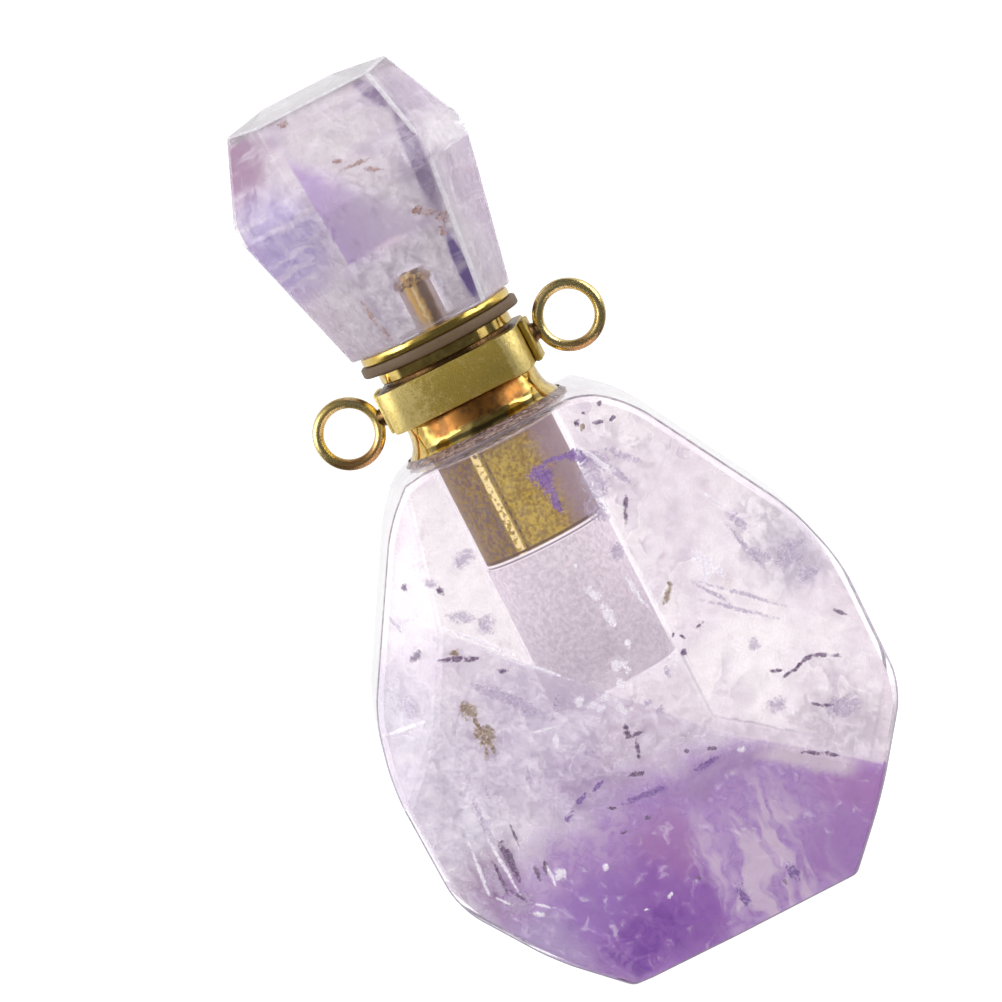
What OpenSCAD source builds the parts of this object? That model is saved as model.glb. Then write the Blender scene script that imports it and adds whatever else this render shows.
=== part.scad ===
// Perfume bottle pendant: a faceted stone bottle with a turned metal neck, a collar
// with two hanging rings, and a faceted stone stopper on a threaded metal cap.
// Millimetres. The base lies on z = 0, the bottle's axis is Z, the front faces -Y.

/* [Bottle stone] */
// Height of the stone from its base to its shoulder
stone_h = 22.6; // [19:0.1:26]
// From the bottle's axis to the left side
left_w = 10.05; // [9:0.05:12]
// From the bottle's axis to the right side
right_w = 10.4; // [9:0.05:12]
// Thickness from front to back at the fullest place
stone_t = 13; // [11:0.1:15]
// Depth of the drilled reservoir below the shoulder
bore_depth = 11.6; // [8:0.1:14]

/* [Neck fitting] */
// Outside diameter of the tube that is glued into the stone
tube_d = 5.2; // [4.8:0.05:5.3]
// Length of the tube below the shoulder
tube_len = 5.3; // [3:0.1:7]
// Gap that the glue fills around the tube
glue_gap = 0.1; // [0.05:0.01:0.15]
// Diameter of the flare's rim on the shoulder
flare_d = 6.9; // [6.5:0.1:7.5]
// Height of the flare
flare_h = 1.5; // [1.2:0.1:2]
// Diameter of the neck inside the collar
neck_d = 5.5; // [5.3:0.05:5.6]
// Diameter of the lip above the collar
lip_d = 5.95; // [5.8:0.05:6.4]
// Height of the lip
lip_h = 0.5; // [0.4:0.05:0.8]

/* [Collar] */
// Width of the collar across its flats
collar_w = 6.3; // [6.2:0.1:7]
// Height of the collar
collar_h = 1.8; // [1.4:0.1:2.4]
// Radius of the collar's four corners
corner_r = 0.8; // [0.5:0.1:1.2]
// Clearance between neck and collar, all round
turn_gap = 0.06; // [0.03:0.01:0.1]
// Clearance under the collar
under_gap = 0.05; // [0.04:0.01:0.1]
// Clearance between collar and lip
over_gap = 0.15; // [0.1:0.01:0.3]
// Angle by which the collar is turned on the neck
collar_turn = -6.5; // [-180:0.5:180]
// Thickness of the end pads
pad_t = 0.33; // [0.2:0.01:0.5]
// Width of the end pads, front to back
pad_w = 1.9; // [1.2:0.1:2.4]
// Diameter of the hole in each ring
ring_hole_d = 2.1; // [1.6:0.05:2.4]
// Thickness of the ring's wire
ring_wire = 0.47; // [0.35:0.01:0.6]
// Gap between pad and ring, filled by the solder
solder_gap = 0.15; // [0.05:0.01:0.3]
// Diameter of the solder joint
solder_d = 0.8; // [0.5:0.1:1.2]
// How far the left ring sits below the collar's middle
left_drop = 0.16; // [0:0.01:0.25]
// How far the right ring sits above the collar's middle
right_lift = 0.2; // [0:0.01:0.25]

/* [Cap and gasket] */
// Diameter of the gasket
gasket_d = 7.05; // [6.8:0.05:7.6]
// Thickness of the gasket
gasket_h = 0.42; // [0.3:0.01:0.6]
// Clearance above and below the gasket
seat_gap = 0.02; // [0.01:0.01:0.05]
// Diameter of the cap's flange
flange_d = 6.7; // [6.2:0.1:7.2]
// Thickness of the cap's flange
flange_h = 0.38; // [0.3:0.01:0.6]
// Diameter of the cap's threaded plug
plug_d = 4.1; // [3.6:0.05:4.2]
// Length of the plug below the flange
plug_len = 2.9; // [2:0.1:4]
// Running clearance around the plug
thread_gap = 0.05; // [0.02:0.01:0.1]
// Clearance between plug and gasket
gasket_gap = 0.1; // [0.05:0.01:0.2]
// Diameter of the peg in the stopper
peg_d = 1.4; // [1:0.05:1.8]
// Length of the peg
peg_len = 2.4; // [1.5:0.1:3]

/* [Stopper stone] */
// Height of the stopper stone
stopper_h = 10.65; // [9:0.05:12]
// Height of its girdle above its bottom
girdle_h = 6.85; // [5:0.05:7]
// Mean distance from the stopper's middle to the girdle's flats
girdle_r = 4.55; // [4.2:0.05:5.2]
// How far the stopper stone sits to the left of the peg
stopper_shift = 0.25; // [0:0.05:0.3]
// Depth of the glue pocket above the peg's end
peg_pocket = 0.1; // [0.05:0.01:0.3]
// Angle by which the table leans forward
table_lean = 3.5; // [0:0.5:6]

/* [Hidden] */
$fn = 96;
stone_color = [0.80, 0.72, 0.88];
gold_color = [0.76, 0.62, 0.28];
gasket_color = [0.42, 0.36, 0.34];
// Longer than any stone, for the block that a facet cuts away
block = 60;
// Overlap of pieces that are joined
sink = 0.05;
// How far a cut runs past the face that it opens
past = 1;

// Heights, from the shoulder up
flare_z = stone_h + seat_gap;
collar_z = flare_z + flare_h + under_gap;
lip_z = collar_z + collar_h + over_gap;
gasket_z = lip_z + lip_h + seat_gap;
flange_z = gasket_z + gasket_h + seat_gap;
stopper_z = flange_z + flange_h + seat_gap;
top_z = stopper_z + stopper_h;

// Radii that follow from a fit
bore_r = tube_d / 2 + glue_gap;
thread_r = plug_d / 2 + thread_gap;
collar_hole_r = neck_d / 2 + turn_gap;
gasket_hole_r = plug_d / 2 + gasket_gap;
peg_hole_r = peg_d / 2 + glue_gap;
ring_r = ring_hole_d / 2 + ring_wire;
pad_x = collar_w / 2 + pad_t;
ring_x = pad_x + solder_gap + ring_r;
// Edges of the ring's wire are broken by this share of its thickness
wire_break = 0.25;
// Rim of the flare, as a share of its height
rim_share = 0.06;
// Profile of the flare above its rim: share of its height, share of its width past the neck
flare_steps = [[0.20, 0.93], [0.43, 0.76], [0.66, 0.50], [0.86, 0.17]];

// Outline of the bottle stone: share of its height, of its left and of its right side
OUTLINE = [
    [0.000, 0.49, 0.50],
    [0.100, 0.73, 0.71],
    [0.265, 0.985, 0.99],
    [0.513, 1.00, 1.00],
    [0.640, 0.935, 0.92],
    [0.940, 0.53, 0.55],
    [1.000, 0.385, 0.395]
];

// Facets of the front, each through three points: share of the side that it lies on,
// of half the thickness, and of the height. The back has the same, turned half round.
FACETS = [
    // Upper face, above the long diagonal ridge
    [[-0.59, 1.00, 0.76], [0.31, 1.00, 0.33], [0.03, 0.82, 1.00]],
    // Broad right face
    [[0.27, 0.88, 0.71], [0.27, 0.98, 0.40], [1.00, 0.75, 0.40]],
    // Lower left face
    [[-0.03, 1.00, 0.49], [-0.59, 1.00, 0.76], [-0.03, 0.88, 0.00]],
    // Lower right face
    [[0.31, 0.99, 0.33], [0.78, 0.90, 0.155], [-0.03, 0.88, 0.00]],
    // Left bevel
    [[-0.735, 0.94, 0.59], [-0.735, 0.855, 0.26], [-1.00, 0.75, 0.42]],
    // Bevel along the upper left slope
    [[-0.735, 0.94, 0.59], [-0.41, 0.90, 0.98], [-0.767, 0.75, 0.73]],
    // Bevel along the lower left slope
    [[-0.735, 0.855, 0.26], [-0.455, 0.835, 0.035], [-0.743, 0.72, 0.133]]
];

// Sides of the stopper: turn from the front, lean of the crown and of the lower facet,
// and the share of girdle_r that it reaches at the girdle
STOPPER_SIDES = [
    [3, 25, 11, 0.97],
    [67, 21, 10, 1.03],
    [126, 24, 10.5, 0.98],
    [183, 23, 11.5, 1.015],
    [246, 23.5, 14, 1.04],
    [307, 14, 13.5, 1.015]
];

// A block whose face leans up by lean and is turned from the front by turn
module outside(turn, lean) {
    rotate([0, 0, turn])
        rotate([-lean, 0, 0])
            translate([-block / 2, -block, -block / 2])
                cube(block);
}

// A point of the stone from its shares
function stone_point(s) = [
    s.x * (s.x < 0 ? left_w : right_w),
    -s.y * stone_t / 2,
    s.z * stone_h
];

// The outward normal of the face through three points, on the side that side names
function face_normal(p, side) =
    let (n = cross(p[1] - p[0], p[2] - p[0]))
    n * (n.y * side > 0 ? 1 : -1) / norm(n);

// Cuts away what lies outside the face through three points
module facet_cut(points, side) {
    n = face_normal(points, side);
    translate(points[0])
        outside(atan2(n.x, -n.y), asin(n.z));
}

module outline() {
    left = [for (row = OUTLINE) [-row[1] * left_w, row[0] * stone_h]];
    right = [for (i = [len(OUTLINE) - 1:-1:0]) [OUTLINE[i][2] * right_w, OUTLINE[i][0] * stone_h]];
    polygon(concat(left, right));
}

module bottle_stone() {
    color(stone_color)
        difference() {
            rotate([90, 0, 0])
                translate([0, 0, -stone_t / 2])
                    linear_extrude(stone_t)
                        outline();
            for (facet = FACETS) {
                facet_cut([for (s = facet) stone_point(s)], -1);
                facet_cut([for (s = facet) stone_point([-s.x, -s.y, s.z])], 1);
            }
            translate([0, 0, stone_h - bore_depth])
                cylinder(r = bore_r, h = bore_depth + past);
        }
}

module neck_fitting() {
    flare_r = flare_d / 2;
    neck_r = neck_d / 2;
    flare = [for (s = flare_steps) [neck_r + s[1] * (flare_r - neck_r), flare_z + s[0] * flare_h]];
    lip_top = lip_z + lip_h;
    color(gold_color)
        rotate_extrude()
            polygon(concat(
                [
                    [thread_r, stone_h - tube_len],
                    [tube_d / 2, stone_h - tube_len],
                    [tube_d / 2, flare_z],
                    [flare_r, flare_z],
                    [flare_r, flare_z + rim_share * flare_h]
                ],
                flare,
                [
                    [neck_r, flare_z + flare_h],
                    [neck_r, lip_z],
                    [lip_d / 2, lip_z],
                    [lip_d / 2, lip_top],
                    [thread_r, lip_top]
                ]
            ));
}

module rounded_square(size, r) {
    square([size, size - 2 * r], center = true);
    square([size - 2 * r, size], center = true);
    for (x = [-1, 1], y = [-1, 1])
        translate([x, y] * (size / 2 - r))
            circle(r);
}

// A hanging ring around the Y axis, with a cylindrical wall inside
module ring() {
    edge = wire_break * ring_wire;
    half = ring_wire / 2;
    hole_r = ring_hole_d / 2;
    rotate([90, 0, 0])
        rotate_extrude()
            polygon([
                [hole_r, -half + edge],
                [hole_r + edge, -half],
                [ring_r - edge, -half],
                [ring_r, -half + edge],
                [ring_r, half - edge],
                [ring_r - edge, half],
                [hole_r + edge, half],
                [hole_r, half - edge]
            ]);
}

// One end of the collar: its pad, the solder and the ring
module collar_end(side, lift) {
    mid_z = collar_h / 2;
    translate([side * (pad_x - pad_t / 2 - sink / 2), 0, mid_z])
        cube([pad_t + sink, pad_w, collar_h], center = true);
    translate([side * (pad_x - sink), 0, mid_z + lift])
        rotate([0, side * 90, 0])
            cylinder(d = solder_d, h = solder_gap + 2 * sink + ring_wire / 2);
    translate([side * ring_x, 0, mid_z + lift])
        ring();
}

module collar() {
    color(gold_color)
        translate([0, 0, collar_z])
            rotate([0, 0, collar_turn])
                difference() {
                    union() {
                        linear_extrude(collar_h)
                            rounded_square(collar_w, corner_r);
                        collar_end(-1, -left_drop);
                        collar_end(1, right_lift);
                    }
                    translate([0, 0, -past])
                        cylinder(r = collar_hole_r, h = collar_h + 2 * past);
                }
}

module gasket() {
    color(gasket_color)
        translate([0, 0, gasket_z])
            difference() {
                cylinder(d = gasket_d, h = gasket_h);
                translate([0, 0, -past])
                    cylinder(r = gasket_hole_r, h = gasket_h + 2 * past);
            }
}

module cap_fitting() {
    color(gold_color) {
        translate([0, 0, flange_z])
            cylinder(d = flange_d, h = flange_h);
        translate([0, 0, flange_z - plug_len])
            cylinder(d = plug_d, h = plug_len + sink);
        translate([0, 0, flange_z + flange_h - sink])
            cylinder(d = peg_d, h = peg_len + sink);
    }
}

module stopper_stone() {
    girdle_z = stopper_z + girdle_h;
    color(stone_color)
        translate([-stopper_shift, 0, 0])
            difference() {
                translate([0, 0, stopper_z])
                    cylinder(r = 2 * girdle_r, h = stopper_h + past, $fn = 12);
                for (side = STOPPER_SIDES) {
                    reach = side[3] * girdle_r;
                    foot = reach * [sin(side[0]), -cos(side[0]), 0];
                    translate(foot + [0, 0, girdle_z])
                        outside(side[0], side[1]);
                    translate(foot + [0, 0, girdle_z])
                        outside(side[0], -side[2]);
                }
                translate([0, 0, top_z])
                    outside(0, 90 - table_lean);
                translate([stopper_shift, 0, stopper_z - past])
                    cylinder(r = peg_hole_r, h = past + peg_len + peg_pocket);
            }
}

bottle_stone();
neck_fitting();
collar();
gasket();
cap_fitting();
stopper_stone();
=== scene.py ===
import bpy
import math
from mathutils import Matrix, Vector


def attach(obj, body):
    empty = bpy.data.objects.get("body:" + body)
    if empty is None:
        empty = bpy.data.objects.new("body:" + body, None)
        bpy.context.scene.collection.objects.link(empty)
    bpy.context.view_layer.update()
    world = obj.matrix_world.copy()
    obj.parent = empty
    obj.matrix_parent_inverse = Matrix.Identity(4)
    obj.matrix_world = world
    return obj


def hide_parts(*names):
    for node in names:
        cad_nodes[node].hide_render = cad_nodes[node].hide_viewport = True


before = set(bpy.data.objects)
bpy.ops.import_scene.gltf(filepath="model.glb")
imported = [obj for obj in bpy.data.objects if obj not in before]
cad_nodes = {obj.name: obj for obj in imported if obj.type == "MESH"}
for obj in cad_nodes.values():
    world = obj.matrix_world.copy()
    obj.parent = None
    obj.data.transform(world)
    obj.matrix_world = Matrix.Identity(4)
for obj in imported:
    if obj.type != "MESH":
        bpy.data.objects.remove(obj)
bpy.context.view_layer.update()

MM = 0.001
# The camera looks down a little and is rolled; AIM, in millimetres, is what it has in its middle
CAMERA_TILT = math.radians(5)
CAMERA_ROLL = math.radians(27)
CAMERA_DISTANCE = 0.4
LENS = 350.5
AIM = (-0.82, 0, 19.66)
# The upright photograph: millimetres for one pixel, its column at X = 0 and its row at the base
GRID = 0.041
MIDDLE_COLUMN = 420
BASE_ROW = 1027.8
# How deep the flaws lie under the stone's surface, in millimetres
FLAW_DEPTH = 0.1
# Heights in millimetres: where the glued tube ends in the bore, and the middle of the collar
TUBE_END = 17.3
COLLAR_MIDDLE = 25.07
COLLAR_TURN = math.radians(-6.5)


class Wire:
    """A node's output that sums and products can be made with."""

    def __init__(self, paint, socket):
        self.paint, self.socket = paint, socket

    def maths(self, operation, a, b=0.0):
        return self.paint.add("ShaderNodeMath", {"operation": operation}, {0: a, 1: b})

    def __add__(self, other):
        return self.maths("ADD", self, other)

    def __sub__(self, other):
        return self.maths("SUBTRACT", self, other)

    def __rsub__(self, other):
        return self.maths("SUBTRACT", other, self)

    def __mul__(self, other):
        return self.maths("MULTIPLY", self, other)

    def __truediv__(self, other):
        return self.maths("DIVIDE", self, other)

    def __or__(self, other):
        return self.maths("MAXIMUM", self, other)

    __radd__, __rmul__ = __add__, __mul__

    def size(self):
        return self.maths("ABSOLUTE", self)


class Paint:
    """A material, and the ways to wire its nodes."""

    def __init__(self, name, world=None):
        self.data = world or bpy.data.materials.new(name)
        self.data.use_nodes = True
        self.tree = self.data.node_tree
        self.tree.nodes.clear()

    def add(self, kind, settings, sockets, out=0):
        node = self.tree.nodes.new(kind)
        for key, value in settings.items():
            setattr(node, key, value)
        for key, value in sockets.items():
            socket = node.inputs[key]
            if isinstance(value, Wire):
                self.tree.links.new(value.socket, socket)
            elif getattr(socket, "type", "") == "RGBA" and len(value) == 3:
                socket.default_value = (*value, 1.0)
            else:
                socket.default_value = value
        return Wire(self, node.outputs[out])

    def place(self):
        """Object coordinates in millimetres."""
        where = self.add("ShaderNodeTexCoord", {}, {}, "Object")
        return self.add("ShaderNodeMapping", {}, {"Vector": where, "Scale": (1 / MM, 1 / MM, 1 / MM)})

    def axes(self, vector):
        node = self.add("ShaderNodeSeparateXYZ", {}, {"Vector": vector}).socket.node
        return [Wire(self, node.outputs[i]) for i in range(3)]

    def noise(self, vector, scale, detail=2.0, roughness=0.5, distortion=0.0):
        return self.add("ShaderNodeTexNoise", {}, {"Vector": vector, "Scale": scale, "Detail": detail,
                                                   "Roughness": roughness, "Distortion": distortion})

    def ease(self, value, low, high, start=0.0, end=1.0):
        """Goes smoothly from start to end while value goes from low to high."""
        return self.add("ShaderNodeMapRange", {"interpolation_type": "SMOOTHSTEP"},
                        {"Value": value, "From Min": low, "From Max": high, "To Min": start, "To Max": end})

    def blend(self, a, b, share):
        return self.add("ShaderNodeMix", {"data_type": "RGBA"}, {"Factor": share, 6: a, 7: b}, 2)

    def tint(self, colour, share):
        """Lays another colour over the paint's own."""
        self.colour = self.blend(self.colour, colour, share)

    def times(self, a, b):
        return self.add("ShaderNodeMix", {"data_type": "RGBA", "blend_type": "MULTIPLY"},
                        {"Factor": 1.0, 6: a, 7: b}, 2)

    def bump(self, height, strength, distance):
        return self.add("ShaderNodeBump", {},
                        {"Height": height, "Strength": strength, "Distance": distance * MM})

    def principled(self, **sockets):
        return self.add("ShaderNodeBsdfPrincipled", {}, {k.replace("_", " "): v for k, v in sockets.items()})

    def clear(self, tint=(1, 1, 1)):
        return self.add("ShaderNodeBsdfTransparent", {}, {"Color": tint})

    def mix(self, a, b, share):
        return self.add("ShaderNodeMixShader", {}, {0: share, 1: a, 2: b})

    def ray(self, kind):
        return self.add("ShaderNodeLightPath", {}, {}, kind)

    def lets_lamps_through(self, glass, tint):
        """Keeps glass from casting a dark shadow: the lamps shine through it, tinted."""
        return self.mix(glass, self.clear(tint), self.ray("Is Shadow Ray"))

    def show(self, shader):
        world = isinstance(self.data, bpy.types.World)
        out = self.tree.nodes.new("ShaderNodeOutputWorld" if world else "ShaderNodeOutputMaterial")
        self.tree.links.new(shader.socket, out.inputs["Surface"])
        return self.data


def deselect():
    if bpy.context.object and bpy.context.object.mode != "OBJECT":
        bpy.ops.object.mode_set(mode="OBJECT")
    bpy.ops.object.select_all(action="DESELECT")


def take(obj):
    deselect()
    obj.select_set(True)
    bpy.context.view_layer.objects.active = obj
    return obj


def settle(obj, name):
    """Gives the object its name and leaves its place in its mesh."""
    take(obj)
    bpy.ops.object.transform_apply(location=True, rotation=True, scale=True)
    obj.name = obj.data.name = name
    return obj


def modify(obj, kind, **settings):
    take(obj)
    modifier = obj.modifiers.new(kind.title(), kind)
    for key, value in settings.items():
        setattr(modifier, key, value)
    bpy.ops.object.modifier_apply(modifier=modifier.name)
    return obj


def pick(obj, mode, test):
    """Selects, in edit mode, the vertices, edges or faces that pass test."""
    take(obj)
    bpy.ops.object.mode_set(mode="EDIT")
    bpy.ops.mesh.select_mode(type=mode)
    bpy.ops.mesh.select_all(action="DESELECT")
    bpy.ops.object.mode_set(mode="OBJECT")
    mesh = obj.data
    for part in {"VERT": mesh.vertices, "EDGE": mesh.edges, "FACE": mesh.polygons}[mode]:
        part.select = test(part)
    bpy.ops.object.mode_set(mode="EDIT")


def done():
    bpy.ops.object.mode_set(mode="OBJECT")


def edit_all():
    bpy.ops.object.mode_set(mode="EDIT")
    bpy.ops.mesh.select_all(action="SELECT")


def close_ends():
    """Fills the open ends of the mesh that is being edited."""
    bpy.ops.mesh.select_all(action="DESELECT")
    bpy.ops.mesh.select_non_manifold()
    bpy.ops.mesh.fill_holes(sides=0)


def face_outwards():
    bpy.ops.mesh.select_all(action="SELECT")
    bpy.ops.mesh.normals_make_consistent(inside=False)
    done()


def own_copy(obj):
    """A copy of an object, with its own mesh."""
    twin = obj.copy()
    twin.data = obj.data.copy()
    bpy.context.scene.collection.objects.link(twin)
    return twin


def turned(name, rings, sides=96, closed=False):
    """A turned piece: a circle drawn out ring by ring, each (radius, height) in millimetres."""
    deselect()
    r, z = rings[0]
    bpy.ops.mesh.primitive_circle_add(vertices=sides, radius=r * MM, location=(0, 0, z * MM),
                                      fill_type="NOTHING")
    obj = bpy.context.object
    edit_all()
    for r_next, z_next in rings[1:]:
        bpy.ops.mesh.extrude_region_move(TRANSFORM_OT_translate={"value": (0, 0, (z_next - z) * MM)})
        bpy.ops.transform.resize(value=(r_next / r, r_next / r, 1), center_override=(0, 0, z_next * MM))
        r, z = r_next, z_next
    if closed:
        bpy.ops.mesh.select_all(action="SELECT")
        bpy.ops.mesh.remove_doubles(threshold=1e-7)
    else:
        close_ends()
    face_outwards()
    return settle(obj, name)


def box(name, middle, size):
    """A block, its middle and size in millimetres."""
    deselect()
    bpy.ops.mesh.primitive_cube_add(size=1, location=[c * MM for c in middle])
    block = bpy.context.object
    block.scale = [c * MM for c in size]
    return settle(block, name)


def smooth(obj, angle):
    take(obj)
    bpy.ops.object.shade_smooth_by_angle(angle=math.radians(angle))
    return obj


def smooth_weighted(obj, weight):
    take(obj)
    bpy.ops.object.shade_smooth()
    modify(obj, "WEIGHTED_NORMAL", weight=weight)


def join(name, first, *others):
    take(first)
    for other in others:
        other.select_set(True)
    bpy.ops.object.join()
    return settle(bpy.context.object, name)


def dress(obj, materials):
    obj.data.materials.clear()
    for material in materials:
        obj.data.materials.append(material)


def finish_faces(obj, choose):
    """Gives each face the number of its material, from its middle in millimetres and from the face."""
    for face in obj.data.polygons:
        face.material_index = choose(face.center / MM, face)


def finish_piece(obj, materials, body, slot, *replaced):
    if materials:
        dress(obj, materials)
    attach(obj, body)
    if replaced:
        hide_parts(*replaced)
    return obj


def stand(name, data):
    """Puts a camera or a lamp in the scene."""
    made = bpy.data.objects.new(name, data)
    bpy.context.scene.collection.objects.link(made)
    return made


def camera():
    back = Vector((0, -math.cos(CAMERA_TILT), math.sin(CAMERA_TILT)))
    upright = Vector((0, math.sin(CAMERA_TILT), math.cos(CAMERA_TILT)))
    up = upright * math.cos(CAMERA_ROLL) + Vector((math.sin(CAMERA_ROLL), 0, 0))
    data = bpy.data.cameras.new("camera")
    data.lens, data.sensor_width, data.clip_start, data.clip_end = LENS, 36, 0.01, 50
    cam = stand("camera", data)
    turn = Matrix((up.cross(back), up, back)).transposed().to_4x4()
    cam.matrix_world = Matrix.Translation(Vector(AIM) * MM + back * CAMERA_DISTANCE) @ turn
    bpy.context.scene.camera = cam


def softbox(name, place, size, power, mirrored=True):
    aim = Vector((0, 0, 20))
    data = bpy.data.lights.new(name, "AREA")
    data.shape, data.size, data.size_y, data.energy = "RECTANGLE", size[0] * MM, size[1] * MM, power
    lamp = stand(name, data)
    lamp.location = Vector(place) * MM
    lamp.rotation_euler = (Vector(place) - aim).to_track_quat("Z", "Y").to_euler()
    lamp.visible_camera, lamp.visible_glossy = False, mirrored


def studio():
    """Light from all round, and for reflections a dark front with bright strips at both sides."""
    world = bpy.data.worlds.new("studio")
    bpy.context.scene.world = world
    paint = Paint("studio", world)
    x, y, z = paint.axes(paint.add("ShaderNodeTexCoord", {}, {}, "Generated"))
    strip = lambda middle, half: paint.ease((x - middle).size(), half, half * 0.6)
    room = 0.3 + paint.ease(y, -0.3, 0.4, 0.0, 0.4) + paint.ease(z, 0.3, 0.8, 0.0, 0.4)
    strips = (strip(-0.88, 0.13) * 2.8 + strip(-0.5, 0.3) * 0.25
              + strip(0.78, 0.07) * 3.4 + strip(0.96, 0.04) * 2.2)
    backdrop = paint.ease(y, -0.05, 0.25, 0.0, 0.75) * paint.ease(z, 0.95, 0.7)
    mirrored = 0.11 + strips * paint.ease(y, 0.3, 0.1) + backdrop
    light = paint.ease(paint.ray("Is Glossy Ray"), 0.0, 1.0, room, mirrored)
    seen = paint.ray("Is Camera Ray")
    paint.show(paint.add("ShaderNodeBackground", {}, {"Color": (0.985, 0.99, 1.0),
                                                      "Strength": light * (1 - seen) + seen * 1.3}))
    world.cycles.sampling_method = "NONE"
    softbox("left_softbox", (-330, -190, 190), (200, 300), 0.42)
    softbox("right_softbox", (330, -140, 140), (120, 300), 0.28)
    softbox("top_softbox", (0, -60, 420), (300, 240), 0.16, mirrored=False)
    sun = bpy.data.lights.new("floor_light", "SUN")
    sun.energy, sun.angle = 0.75, math.radians(110)
    lamp = stand("floor_light", sun)
    lamp.visible_glossy = False
    lamp.rotation_euler = (math.radians(-12), math.radians(8), 0)
    bpy.context.scene.view_settings.view_transform = "Standard"
    cycles = bpy.context.scene.cycles
    cycles.caustics_reflective = False
    cycles.max_bounces, cycles.diffuse_bounces, cycles.transmission_bounces = 7, 1, 7
    cycles.transparent_max_bounces = 12
    cycles.use_light_tree = False


def white_floor():
    """A pale card, dark in front for reflections, so that the gold has contrast."""
    deselect()
    bpy.ops.mesh.primitive_plane_add(size=12, location=(0, 0, 0))
    floor = settle(bpy.context.object, "floor")
    card = Paint("white_card")
    grain = card.noise(card.place(), 0.05, 2)
    y = card.axes(card.place())[1]

    def sheet(grey, glow):
        colour = card.blend((grey, grey, grey), (grey * 1.07, grey * 1.07, grey * 1.07), grain)
        return card.principled(Base_Color=colour, Roughness=0.9, Specular_IOR_Level=0.0,
                               Emission_Color=(1, 1, 1), Emission_Strength=glow)

    mirrored = card.mix(sheet(0.05, 0.03), sheet(0.3, 0.6), card.ease(y, 0, 60))
    indoors = card.mix(sheet(0.28, 0.45), mirrored, card.ray("Is Glossy Ray"))
    seen = card.ray("Is Camera Ray") | (card.ray("Is Transmission Ray") - card.ray("Diffuse Depth"))
    floor.data.materials.append(card.show(card.mix(indoors, sheet(0.28, 0.9), seen)))


def tone(red, green, blue):
    """A colour as a paint chart gives it, 0 to 255, made linear."""
    return tuple((c / 255 / 12.92) if c < 10.3 else ((c / 255 + 0.055) / 1.055) ** 2.4
                 for c in (red, green, blue))


def spot_at(px, py):
    """Where a pixel of the upright photograph lies in the front's plane, in millimetres."""
    return (px - MIDDLE_COLUMN) * GRID, (BASE_ROW - py) * GRID


class Quartz(Paint):
    """Violet quartz, painted in the plane of the front: across is X, up is the height that the eye sees."""

    def __init__(self, name, wander=1.8):
        super().__init__(name)
        self.p = self.place()
        self.x, self.y, z = self.axes(self.p)
        self.up = z + self.y * math.tan(CAMERA_TILT)
        self.flat = self.add("ShaderNodeCombineXYZ", {}, {0: self.x, 1: 0.0, 2: self.up})
        drift = self.add("ShaderNodeTexNoise", {}, {"Vector": self.p, "Scale": 0.6, "Detail": 2.0}, "Color")
        shift = self.add("ShaderNodeVectorMath", {"operation": "MULTIPLY_ADD"},
                         {0: drift, 1: (wander, 0, wander), 2: (-wander / 2, 0, -wander / 2)})
        self.loose = self.add("ShaderNodeVectorMath", {"operation": "ADD"}, {0: self.flat, 1: shift})
        self.fine = self.noise(self.p, 1.6, 4, 0.68, 0.6)
        self.coarse = self.noise(self.p, 0.35, 2, 0.55)
        self.colour = None

    def spot(self, px, py, wide, high, turn=0.0, soft=0.6, loose=True):
        """1 inside an ellipse of the front's plane, fading over the share soft of its reach."""
        x, up = spot_at(px, py)
        where = self.add("ShaderNodeMapping", {"vector_type": "TEXTURE"},
                         {"Vector": self.loose if loose else self.flat, "Location": (x, 0, up),
                          "Rotation": (0, math.radians(turn), 0), "Scale": (wide * GRID, 1, high * GRID)})
        inside = self.add("ShaderNodeTexGradient", {"gradient_type": "SPHERICAL"}, {"Vector": where}, "Fac")
        return self.ease(inside, 0.0, soft)

    def drawn_out(self, scale, turn=0.0):
        """The loose coordinates, for a pattern that is longer one way."""
        return self.add("ShaderNodeMapping", {},
                        {"Vector": self.loose, "Rotation": (0, turn, 0), "Scale": scale})

    def cracks(self, size, thin, where):
        """Healed cracks: a white line beside a grey one, broken where the stone is whole."""
        wave = self.noise(self.loose, size, 2, 0.55, 0.9) - 0.5
        broken = self.ease(self.noise(self.p, size * 1.3, 2), 0.5, 0.62) * where
        grey = self.ease((wave - thin * 1.6).size(), thin * 1.6, thin * 0.3)
        white = self.ease(wave.size(), thin, thin * 0.3)
        self.tint(tone(168, 154, 180), grey * broken * 0.8)
        self.tint(tone(248, 246, 250), white * broken * 0.9)

    def veils(self, size, count, where):
        """Curved planes in the stone: grey on one side, with a white lip on the other."""
        wave = self.noise(self.loose, size, 1.5, 0.5, 0.5) * count
        step = self.add("ShaderNodeMath", {"operation": "FRACT"}, {0: wave})
        here = self.ease(self.noise(self.p, size * 1.1, 1), 0.46, 0.56) * where
        self.tint(self.times(self.colour, (0.80, 0.77, 0.83)), self.ease(step, 0.4, 0.97) * here)
        self.tint(tone(250, 248, 251), self.ease(step, 0.09, 0.03) * here * 0.8)

    def cloud(self, density, glow=0.44):
        """The milky body inside the stone: it scatters where it is dense and is clear elsewhere, and glows a
        little, painted light that brightens it.
        """
        colour = self.times(self.colour, (1.0, 0.985, 0.94))
        milk = self.principled(Base_Color=colour, Roughness=0.9, Specular_IOR_Level=0.0,
                               Emission_Color=colour, Emission_Strength=glow)
        return self.show(self.lets_lamps_through(self.mix(self.clear(), milk, density), (0.93, 0.91, 0.94)))


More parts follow.
